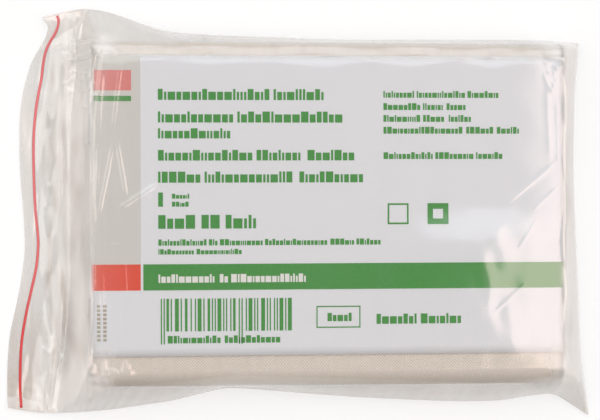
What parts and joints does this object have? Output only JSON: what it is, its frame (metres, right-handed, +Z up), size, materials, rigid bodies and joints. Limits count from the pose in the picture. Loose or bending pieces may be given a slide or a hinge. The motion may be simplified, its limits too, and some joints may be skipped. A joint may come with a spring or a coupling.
{
  "type": "arm sling",
  "caption": "Triangular arm-sling bandage folded to a flat parcel, packed with a printed card in a clear press-seal bag; the mouth opens, and the card and the cloth draw out.",
  "frame": {"origin": "middle of the underside of the bag, on the surface that the pack lies on", "axes": "+X along the bag from its mouth to its closed end, +Y across the bag to its far side, +Z up through the card"},
  "size_m": [0.134, 0.092, 0.0149],
  "materials": {
    "film": "clear blown film, glossy",
    "seal": "extruded, clear, slightly milky",
    "red_line": "co-extruded colour line",
    "card": "printed, satin",
    "cloth": "unbleached plain weave"
  },
  "bodies": {
    "bag": {"rear_film": "film", "front_film": "film", "side_weld_far": "film", "side_weld_near": "film", "end_weld": "film", "seal_groove": "seal"},
    "mouth": {"front_mouth_film": "film", "seal_rib": "seal", "opening_line": "red_line"},
    "card": {"insert_card": "card"},
    "sling": {"sling_cloth": "cloth"}
  },
  "joints": [
    {"name": "mouth_open", "type": "hinge", "parent": "bag", "child": "mouth", "pos_m": [-0.05415, 0, 0.0149], "axis": [0, 1, 0], "range_deg": [0, 75], "deforming": ["seal_rib", "seal_groove"]},
    {"name": "card_draw", "type": "slide", "parent": "bag", "child": "card", "axis": [-1, 0, 0], "range_m": [0, 0.13], "deforming": ["front_mouth_film", "opening_line"]},
    {"name": "sling_draw", "type": "slide", "parent": "bag", "child": "sling", "axis": [-1, 0, 0], "range_m": [0, 0.13], "deforming": ["front_mouth_film", "opening_line", "seal_rib", "seal_groove"]}
  ]
}
